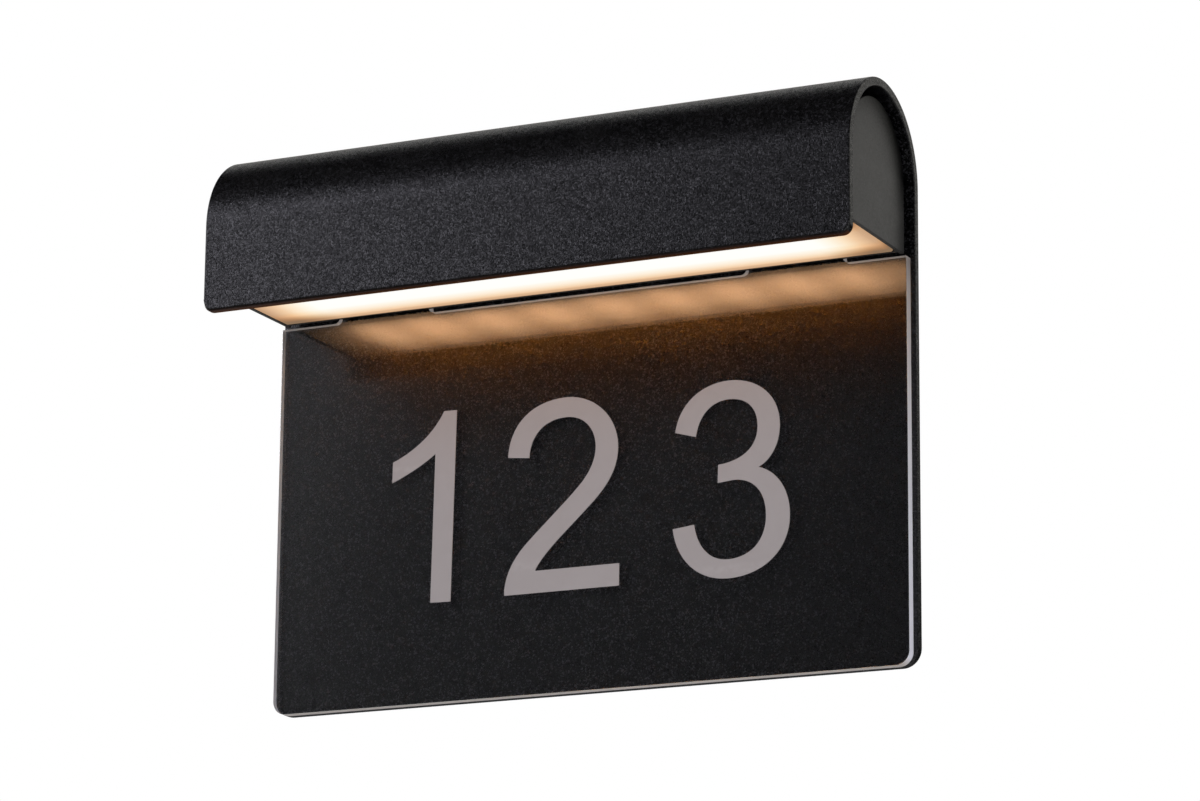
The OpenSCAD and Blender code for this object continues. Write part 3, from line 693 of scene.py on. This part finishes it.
def paint_glow_at_rim(material):
    """Painted light: a warm glow painted on the hood's lower edge as light of its own, standing for
    the lamp's warm light there, strongest along its inner side.
    """
    tree = material.node_tree
    outer_y, inner_y = -0.0749, -0.0711
    across = split(tree, coordinates(tree, "Object"))["Y"]
    shine(tree, find(tree, "BSDF_PRINCIPLED"), ramp(tree, spread(tree, across, outer_y, inner_y), [
        (0.0, (0.0, 0.0, 0.0)), (0.15, (0.012, 0.0030, 0.0004)), (0.5, (0.034, 0.0090, 0.0006)),
        (1.0, (0.062, 0.0150, 0.0008))]))


def paint_shade_under_hood(material):
    """Painted shade: the caps stand back in the hood's open ends, and their colour is painted
    darker toward its inner side, where the hood's shade falls.
    """
    tree = material.node_tree
    base = find(tree, "BSDF_PRINCIPLED").inputs["Base Color"]
    plain = base.links[0].from_socket
    xyz = split(tree, coordinates(tree, "Object"))
    middle_y, middle_z, lit_r, dark_r = -0.0470, 0.0020, 0.0195, 0.038
    dy = minus(tree, xyz["Y"], middle_y)
    dz = math_node(tree, "MAXIMUM", minus(tree, xyz["Z"], middle_z), 0.0)
    reach = math_node(tree, "SQRT", plus(tree, times(tree, dy, dy), times(tree, dz, dz)))
    shade = ramp(tree, spread(tree, reach, lit_r, dark_r), [
        (place, grey(share)) for place, share in (
            (0.0, 1), (0.35, 0.85), (0.6, 0.5), (0.8, 0.12), (1.0, 0.02))])
    strength = spread(tree, xyz["Z"], -0.004, 0.012, 0.55, 1.0)
    join(tree, blend(tree, strength, plain, shade, "MULTIPLY"), base)


def paint_paler_specks_behind_plate(material, speck):
    """Painted light: the coat's specks are painted paler on the back plate's front, below the hood,
    and less so toward the right end.
    """
    tree = material.node_tree
    grains = next(n for n in tree.nodes if n.type == "GROUP" and n.node_tree == powder_grain)
    forward = spread(tree, split(tree, coordinates(tree, "Normal"))["Y"], -0.8, -0.95)
    xyz = split(tree, coordinates(tree, "Object"))
    on_front = times(tree, forward, spread(tree, xyz["Y"], -0.0060, -0.0045))
    below_hood = spread(tree, xyz["Z"], -0.010, -0.020)
    fading_right = spread(tree, xyz["X"], plate_half_w, 0.06)
    share = times(tree, on_front, times(tree, below_hood, fading_right))
    usual = tuple(grains.inputs["Speck Colour"].default_value)
    join(tree, blend(tree, share, usual, speck), grains.inputs["Speck Colour"])


black_powder = coated(
    "black powder coat", (0.0006, 0.0006, 0.0008), (0.022, 0.0215, 0.0245), grain=0.0006,
    depth=0.00008, tilt=0.20, gloss=0.20, rough=0.38, specks=0.8, specular=0.30, wear=0.3,
    dust=0.02)
# Painted light on the back plate behind the clear plate: paler specks.
paint_paler_specks_behind_plate(black_powder, (0.066, 0.064, 0.070))
# The hood's rim gets a copy of the black coat: darker specks as painted shade, and a painted warm
# glow.
rim_coat_shade_and_glow = coated(
    "black powder coat at the rim", (0.0006, 0.0006, 0.0008), (0.006, 0.0058, 0.0062), grain=0.0006,
    depth=0.00008, tilt=0.20, gloss=0.30, rough=0.42, specks=0.6, specular=0.12, wear=0.1,
    dust=0.0)
paint_glow_at_rim(rim_coat_shade_and_glow)
# The housing's copy of the grey satin coat is painted far darker than the caps' copy: painted shade
# for the housing, which lies in the hood's shadow.
housing_satin_painted_dark = coated(
    "grey satin coat", (0.007, 0.0069, 0.0064), (0.015, 0.0147, 0.0138), grain=0.0007,
    depth=0.00002, tilt=0.06, gloss=0.26, rough=0.33, specks=0.5, specular=0.30, wear=0.2,
    dust=0.01)
cap_satin = coated(
    "grey satin coat on the caps", (0.060, 0.0590, 0.0560), (0.070, 0.069, 0.066), grain=0.0007,
    depth=0.00002, tilt=0.06, gloss=0.30, rough=0.38, specks=0.5, specular=0.08, wear=0.2,
    dust=0.01)
# Painted shade on the caps, darker toward the hood's inner side.
paint_shade_under_hood(cap_satin)
white_paint = coated(
    "white reflective coat", (0.82, 0.82, 0.80), (0.88, 0.88, 0.86), grain=0.0012,
    depth=0.00002, tilt=0.03, gloss=0.35, rough=0.5, specks=0.5, specular=0.5, wear=0.2, dust=0.03)
board_resist = moulded("white solder resist", (0.86, 0.86, 0.84), grain=0.0004, depth=0.000006,
                       gloss=0.2, rough=0.3, variation=0.4)
case_plastic = moulded("driver case plastic", (0.78, 0.78, 0.76), grain=0.0007, depth=0.00003,
                       gloss=0.4, rough=0.55, variation=0.5)
nylon = moulded("natural nylon", (0.68, 0.67, 0.62), grain=0.0009, depth=0.00002,
                gloss=0.3, rough=0.45, variation=0.7)
black_nylon = moulded("black nylon", (0.02, 0.02, 0.02), grain=0.0007, depth=0.00003,
                      gloss=0.4, rough=0.55, variation=0.4)
rubber = moulded("black rubber", (0.02, 0.02, 0.02), grain=0.0005, depth=0.00002,
                 gloss=0.55, rough=0.75, variation=0.6, specular=0.3)
silicone = moulded("dark silicone", (0.03, 0.03, 0.03), grain=0.0008, depth=0.00002,
                   gloss=0.4, rough=0.6, variation=0.6, specular=0.4)
zinc = plated("zinc plated steel", (0.60, 0.61, 0.63), (0.50, 0.53, 0.58), line=0.0002,
              gloss=0.22, rough=0.42)
brass = plated("turned brass", (0.75, 0.58, 0.28), (0.62, 0.47, 0.22), line=0.0002,
               gloss=0.2, rough=0.38)
figure_film = moulded("grey figure film", (0.325, 0.298, 0.295), grain=0.0009, depth=0.000006,
                      gloss=0.5, rough=0.62, variation=0.3, specular=0.15)
diode_face = moulded("yellow phosphor", (0.85, 0.68, 0.20), grain=0.0003, depth=0.00001,
                     gloss=0.25, rough=0.4, variation=0.4)
shine(diode_face.node_tree, find(diode_face.node_tree, "BSDF_PRINCIPLED"), (1.0, 0.75, 0.4))
opal = lit_opal()
clear_acrylic = clear_sheet("clear acrylic", (0.97, 0.985, 0.98), gloss=0.0, rough=0.02)
sawn_acrylic = milled_edge()


# The camera stands where the photograph was taken from

bpy.context.scene.view_settings.view_transform = "Standard"
camera_data = bpy.data.cameras.new("camera")
camera = bpy.data.objects.new("camera", camera_data)
bpy.context.scene.collection.objects.link(camera)
camera.matrix_world = Matrix((
    (0.90203009, 0.09883692, 0.42020589, 0.83631533),
    (0.43159012, -0.22558490, -0.87340794, -1.73151132),
    (0.00846716, 0.96919694, -0.24614140, -0.55477209),
    (0, 0, 0, 1)))
camera_data.sensor_fit = "HORIZONTAL"
camera_data.sensor_width = 36
camera_data.lens = 139.232
camera_data.clip_start = 0.01
camera_data.clip_end = 100
bpy.context.scene.camera = camera


# The pieces

def along_y(direction):
    return abs(direction.y) > 0.99


def make_body():
    """Back plate and hood from one bent sheet, coated all over, with its holes."""
    hood_y, rim_y = -0.06, -0.07
    above_corners_z, rim_z = hood_edge_z + 0.0055, hood_edge_z + 0.0012
    piece = block("bent_sheet_body", (-side_x, back_y - sheet_t, foot_z), (side_x, back_y, bend_z))
    pick(piece, "faces", lambda c, n: n.z > 0.9)
    bpy.ops.mesh.spin(steps=60, angle=math.pi, center=(0, bend_y, bend_z), axis=(-1, 0, 0))
    extrude((0, 0, hood_edge_z - bend_z))
    leave_edit()
    pick(piece, "edges", lambda c, d: along_y(d) and c.z < foot_z + near)
    round_picked(foot_corner_r, 14)
    pick(piece, "edges", lambda c, d: along_y(d) and abs(c.z - hood_edge_z) < near and c.y < hood_y)
    round_picked(hood_corner_r, 10)
    # The lip's rounding ends at this cut
    cut_across(piece, (0, 0, above_corners_z), (0, 0, 1))
    pick(piece, "edges", lambda c, d: (
        abs(d.y) < 0.1 and c.y < front_y + near and c.z < hood_edge_z + hood_corner_r))
    round_picked(lip_r, 6)
    soften(piece, width=0.0005, steps=4)
    for x, radius in WALL_SCREW_HOLES + CABLE_HOLE + HOUSING_SCREW_HOLES:
        drill(piece, hole_cutter(x, back_holes_z, back_y - sheet_t, back_y, radius))
    smooth(piece)
    dress(piece, black_powder, rim_coat_shade_and_glow)
    # The rim's downward faces take the copy of the coat with painted shade and a painted glow.
    second_finish(piece, lambda c, n: c.y < rim_y and c.z < rim_z and n.z < -0.35)
    return piece


def make_plate():
    """Clear plate with its two tabs, milled round and its edges broken."""
    def beside_tab(x):
        return min(abs(abs(x) - tab_in_x), abs(abs(x) - tab_out_x)) < near

    piece = block("clear_number_plate", (-plate_half_w, plate_front_y, foot_z),
                  (plate_half_w, plate_back_y, plate_top_z))
    for x in (-tab_out_x, -tab_in_x, tab_in_x, tab_out_x):
        cut_across(piece, (x, 0, 0), (1, 0, 0))
    pick(piece, "faces", lambda c, n: n.z > 0.9 and tab_in_x < abs(c.x) < tab_out_x)
    extrude((0, 0, tab_top_z - plate_top_z))
    leave_edit()
    pick(piece, "edges", lambda c, d: (
        along_y(d) and c.z < foot_z + near and abs(c.x) > plate_half_w - near))
    round_picked(plate_corner_r, 12)
    pick(piece, "edges", lambda c, d: along_y(d) and beside_tab(c.x) and c.z > plate_top_z - near)
    round_picked(tab_corner_r, 8)
    soften(piece, width=0.00025, steps=2)
    dress(piece, clear_acrylic, sawn_acrylic)
    second_finish(piece, lambda c, n: abs(n.y) < 0.2)
    return piece


def make_diffuser():
    """Opal plate in the lamp's open underside, its lower edges rounded."""
    piece = block("opal_diffuser", (-diffuser_half_w, diffuser_front_y, diffuser_low_z),
                  (diffuser_half_w, diffuser_back_y, diffuser_top_z))
    pick(piece, "edges", lambda c, d: c.z < diffuser_low_z + near)
    round_picked(0.001, 3)
    smooth(piece, 50)
    dress(piece, opal)
    return piece


def make_figure(name, strokes, x, lean):
    """A stuck-on figure, from strokes in millimetres about its centre line: a corner is one point,
    and a curve has two handles and an end. It casts no shadow on the sheet behind the plate."""
    data = bpy.data.curves.new(name, "CURVE")
    data.dimensions = "2D"
    data.fill_mode = "BOTH"
    data.resolution_u = 14
    data.extrude = film_half_t
    data.bevel_depth = film_edge_r
    data.bevel_resolution = 1
    spline = data.splines.new("BEZIER")
    points = []
    for stroke in strokes:
        if len(stroke) == 2:
            points.append([stroke, None, None])
        else:
            points[-1][2] = stroke[0:2]
            points.append([stroke[4:6], stroke[2:4], None])
    if points[-1][0] == points[0][0]:
        points[0][1] = points.pop()[1]
    spline.bezier_points.add(len(points) - 1)
    for point, (at, before, after) in zip(spline.bezier_points, points):
        point.handle_left_type = point.handle_right_type = "FREE"
        point.co = (at[0] / 1000, at[1] / 1000, 0)
        point.handle_left = (*(v / 1000 for v in before), 0) if before else point.co
        point.handle_right = (*(v / 1000 for v in after), 0) if after else point.co
    spline.use_cyclic_u = True
    piece = bpy.data.objects.new(name, data)
    bpy.context.scene.collection.objects.link(piece)
    take(piece)
    bpy.ops.object.convert(target="MESH")
    piece = bpy.context.active_object
    piece.rotation_euler = (math.pi / 2, math.radians(lean), 0)
    piece.location = (x, figure_y, figure_foot_z)
    into_mesh()
    pick_all(piece)
    merge_points()
    bpy.ops.mesh.normals_make_consistent(inside=False)
    leave_edit()
    smooth(piece, 30)
    piece.visible_shadow = False
    dress(piece, figure_film)
    return piece


ONE = [
    (6.2, 0), (15.8, 0), (15.8, 84), (9.8, 84), (5.5, 75.5, -2.5, 68, -14.4, 63), (-14.4, 54),
    (-6, 57.5, 1, 61.5, 6.2, 65.5)]
TWO = [
    (-25.9, 60.1), (-25.2, 75.5, -14, 84, 1.5, 84), (14.5, 84, 26, 73.5, 26, 60),
    (26, 50, 20.5, 42.8, 13, 35.9), (2, 25.6, -9.5, 16.5, -12.6, 9.5), (26.9, 9.5), (26.9, 0),
    (-26.9, 0), (-26.9, 2.5), (-26, 11, -21, 18, -15.1, 23.2), (-8, 30, 2, 38.5, 8.2, 45),
    (12.5, 49.5, 15.6, 55, 15.6, 60.9), (15.6, 69.5, 9.5, 75.4, 1.5, 75.4),
    (-9, 75.4, -15.5, 69, -15.9, 59.1)]
THREE = [
    (-25.8, 63.3), (-24, 76, -13.5, 83.5, -1, 83.5), (12, 83.5, 22, 75, 22, 62.5),
    (22, 54.5, 18.5, 48, 12.3, 45), (21, 42.5, 26.5, 34, 26.5, 23.5),
    (26.5, 8.5, 14.5, -1.2, -1.5, -1.2), (-15.5, -1.2, -25, 8.5, -26.8, 21.8), (-17.1, 22.9),
    (-15.5, 12.5, -9.5, 6.8, -1.5, 6.8), (8.5, 6.8, 15.8, 13, 15.8, 24),
    (15.8, 34.5, 10, 40.6, 1, 40.6), (-6.2, 39.9), (-6, 47.6), (4, 48.2, 12, 53, 12, 62.5),
    (12, 71, 6.5, 75.5, -1, 75.5), (-9.5, 75.5, -15, 70, -16.4, 60.7)]


def stands_for(piece, slot, *replaced):
    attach(piece, "root")
    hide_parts(*replaced)


stands_for(make_body(), "powder_black", "body_sheet")
stands_for(make_plate(), "clear_acrylic", "number_plate")
stands_for(make_diffuser(), "opal_diffuser", "diffuser")

# Each figure's name, strokes, place along x and lean in degrees, and the node that it stands for
for name, strokes, x, lean, replaced in (
        ("figure_one", ONE, -0.078, 1.1, "number_one"),
        ("figure_two", TWO, -0.0095, 0.0, "number_two"),
        ("figure_three", THREE, 0.069, 0.0, "number_three")):
    stands_for(make_figure(name, strokes, x, lean), "figure_grey", replaced)

for side in ("left", "right"):
    cap = copy_of("end_cap_" + side, "lamp_cap_" + side)
    soften(cap, width=0.0003, steps=3)
    dress(cap, cap_satin)
    stands_for(cap, "satin_grey", "end_cap_" + side)

housing = copy_of("lamp_housing", "lamp_body")
soften(housing, width=0.0002, steps=2)
# The housing's darker coat is painted shade.
dress(housing, housing_satin_painted_dark)
stands_for(housing, "satin_grey", "lamp_housing")

# The nodes inside keep their CAD shapes
FINISHES = {
    "cap_seals": silicone, "diffuser_seal": silicone, "led_tray": white_paint,
    "led_board": board_resist, "led_chips": diode_face, "board_screws": zinc,
    "led_driver": case_plastic, "driver_screws": zinc, "terminal_block": nylon,
    "terminal_screws": brass, "block_screws": zinc, "clamp_base": black_nylon,
    "clamp_bar": black_nylon, "clamp_screws": zinc, "earth_screw": zinc, "earth_lug": zinc,
    "earth_lead": insulation("green insulation", (0.10, 0.35, 0.05)),
    "live_lead": insulation("brown insulation", (0.20, 0.09, 0.04)),
    "neutral_lead": insulation("blue insulation", (0.03, 0.12, 0.45)),
    "led_plus_lead": insulation("red insulation", (0.50, 0.03, 0.03)),
    "led_minus_lead": insulation("black insulation", (0.02, 0.02, 0.02)),
    "housing_grommet": rubber, "entry_grommet": rubber, "housing_spacers": zinc,
    "housing_screws": zinc, "tab_grips": rubber}
for node, finish in FINISHES.items():
    dress(nodes[node], finish)


# Studio: a pale floor far below, soft lamps, and cards out of the picture that the gloss mirrors

def set_world():
    """Soft light from all round, and white where the camera or a mirror looks past the object."""
    world = bpy.data.worlds.new("studio")
    bpy.context.scene.world = world
    world.use_nodes = True
    tree = world.node_tree
    background = find(tree, "BACKGROUND")
    path = add(tree, "ShaderNodeLightPath")
    scattered = math_node(tree, "GREATER_THAN", path.outputs["Diffuse Depth"], 0.5)
    shows = minus(tree, seen_or_mirrored(tree, path), scattered, clamp=True)
    join(tree, blend(tree, shows, (0.50, 0.50, 0.515), (1.0, 1.0, 1.0)), background.inputs["Color"])
    background.inputs["Strength"].default_value = 1.0


def make_floor():
    """A pale floor far below, which the camera and mirrors see as white."""
    paint = moulded("pale floor", (0.82, 0.82, 0.81), grain=0.02, depth=0.0004,
                    gloss=0.6, rough=0.8, variation=0.1, specular=0.2, wear=0.0)
    let_go()
    bpy.ops.mesh.primitive_plane_add(size=30, location=(0, 0, -2.6))
    floor = bpy.context.active_object
    floor.name = floor.data.name = "studio_floor"
    dress(floor, paint)
    tree = paint.node_tree
    shows = seen_or_mirrored(tree, add(tree, "ShaderNodeLightPath"))
    shine(tree, find(tree, "BSDF_PRINCIPLED"), blend(tree, shows, grey(0.0), grey(0.45)))


def card_cloth(name, colour):
    return moulded(name, colour, grain=0.002, depth=0.0001, gloss=0.8, rough=0.9, variation=0.1,
                   specular=0.0, wear=0.0)


def card(name, corners, material):
    """A flat card through four corners, out of the picture, that only reflections show."""
    let_go()
    bpy.ops.mesh.primitive_plane_add(size=1)
    piece = bpy.context.active_object
    piece.name = piece.data.name = name
    for vertex, corner in zip(piece.data.vertices, corners):
        vertex.co = corner
    dress(piece, material)
    piece.visible_camera = piece.visible_diffuse = piece.visible_shadow = False


def glowing_card(name, corners, direction, start, end, stops):
    """A card that is brighter or darker along one direction, from start to end."""
    cloth = card_cloth(name, grey(0.02))
    tree = cloth.node_tree
    along = add(tree, "ShaderNodeVectorMath", operation="DOT_PRODUCT")
    join(tree, coordinates(tree, "Object"), along.inputs[0])
    along.inputs[1].default_value = direction
    light = ramp(tree, spread(tree, along.outputs["Value"], start, end), stops)
    shine(tree, find(tree, "BSDF_PRINCIPLED"), light)
    card(name, corners, cloth)


def soft_lamp(name, place, aim, width, height, power, colour=(1, 1, 1)):
    data = bpy.data.lights.new(name, "AREA")
    data.shape = "RECTANGLE"
    data.size, data.size_y = width, height
    data.energy = power
    data.color = colour
    lamp = bpy.data.objects.new(name, data)
    bpy.context.scene.collection.objects.link(lamp)
    lamp.visible_transmission = False
    lamp.location = place
    lamp.rotation_euler = (Vector(aim) - Vector(place)).to_track_quat("-Z", "Y").to_euler()


set_world()
make_floor()
black_cloth = card_cloth("black card", grey(0.01))
card("card_right", [(3.6, -3.2, -1.6), (3.6, 3.0, -1.6), (3.6, -3.2, 3.0), (3.6, 3.0, 3.0)],
     black_cloth)
card("card_above", [(-4.0, -3.4, 2.8), (4.0, -3.4, 2.8), (-4.0, 2.5, 3.4), (4.0, 2.5, 3.4)],
     black_cloth)
card("card_below", [(-3.0, -3.2, -1.6), (3.5, -3.2, -1.6), (-3.0, -0.4, -1.6), (3.5, -0.4, -1.6)],
     black_cloth)
glowing_card(
    "card_ahead", [(-2.5, -3.2, -1.5), (3.5, -3.2, -1.5), (-2.5, -3.2, 2.6), (3.5, -3.2, 2.6)],
    direction=(0.88, 0, -0.47), start=-2.3, end=-1.1, stops=[
        (0.0, (0.26, 0.255, 0.27)), (0.15, (0.16, 0.157, 0.165)), (0.3, (0.04, 0.039, 0.041)),
        (0.42, (0.01, 0.01, 0.01)), (1.0, (0.004, 0.004, 0.004))])
glowing_card(
    "card_behind", [(-4.0, 3.0, -2.5), (5.0, 3.0, -2.5), (-4.0, 3.0, 3.3), (5.0, 3.0, 3.3)],
    direction=(0, 0, 1), start=0.3, end=1.4, stops=[
        (0.0, (0.03, 0.03, 0.03)), (0.35, (0.06, 0.06, 0.057)), (0.5, (0.40, 0.39, 0.365)),
        (0.62, (0.76, 0.745, 0.70)), (0.78, (0.76, 0.745, 0.70)), (1.0, (0.48, 0.47, 0.44))])
soft_lamp("key_left", (-2.25, -2.17, 1.28), aim=(0, 0, -0.1), width=1.25, height=1.25, power=25,
          colour=(0.98, 0.96, 1.12))
soft_lamp("fill_right", (1.75, -2.4, -0.47), aim=(0, 0, -0.1), width=1.6, height=1.5, power=18)
soft_lamp("side_right", (2.6, -0.3, 0.3), aim=(0, 0, -0.05), width=1.0, height=1.6, power=8)
soft_lamp("fill_below", (0.0, -1.69, -1.46), aim=(0, 0, -0.1), width=1.6, height=1.2, power=12)
